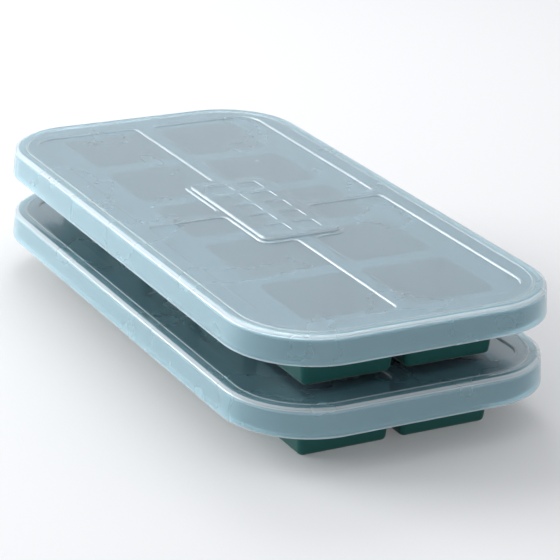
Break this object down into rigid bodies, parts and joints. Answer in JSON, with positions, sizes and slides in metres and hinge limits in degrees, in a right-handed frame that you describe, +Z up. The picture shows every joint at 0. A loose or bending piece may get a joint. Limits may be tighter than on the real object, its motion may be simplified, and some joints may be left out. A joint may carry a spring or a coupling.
{
  "type": "baby food freezer tray",
  "caption": "Stacked silicone freezer trays with square portion cups, steel-stiffened rims and lift-off translucent lids, for freezing baby food.",
  "frame": {"origin": "under the centre of the stack, on the plane that the lower tray's cups stand on", "axes": "+Z up, +X along the long side"},
  "size_m": [0.2748, 0.1418, 0.0598],
  "materials": {
    "silicone": "matte moulded silicone, dark green",
    "lid_plastic": "frosted translucent polypropylene, pale blue-grey",
    "rod_steel": "drawn stainless steel rod"
  },
  "bodies": {
    "lower_tray": {"lower_tray": "silicone", "lower_rim_frame": "rod_steel"},
    "lower_lid": {"lower_lid": "lid_plastic"},
    "upper_tray": {"upper_tray": "silicone", "upper_rim_frame": "rod_steel"},
    "upper_lid": {"upper_lid": "lid_plastic"}
  },
  "joints": [
    {"name": "lower_lid_lift", "type": "slide", "parent": "lower_tray", "child": "lower_lid", "axis": [0, 0, 1], "range_m": [0, 0.08]},
    {"name": "upper_tray_lift", "type": "slide", "parent": "lower_lid", "child": "upper_tray", "axis": [0, 0, 1], "range_m": [0, 0.08]},
    {"name": "upper_lid_lift", "type": "slide", "parent": "upper_tray", "child": "upper_lid", "axis": [0, 0, 1], "range_m": [0, 0.08]}
  ]
}
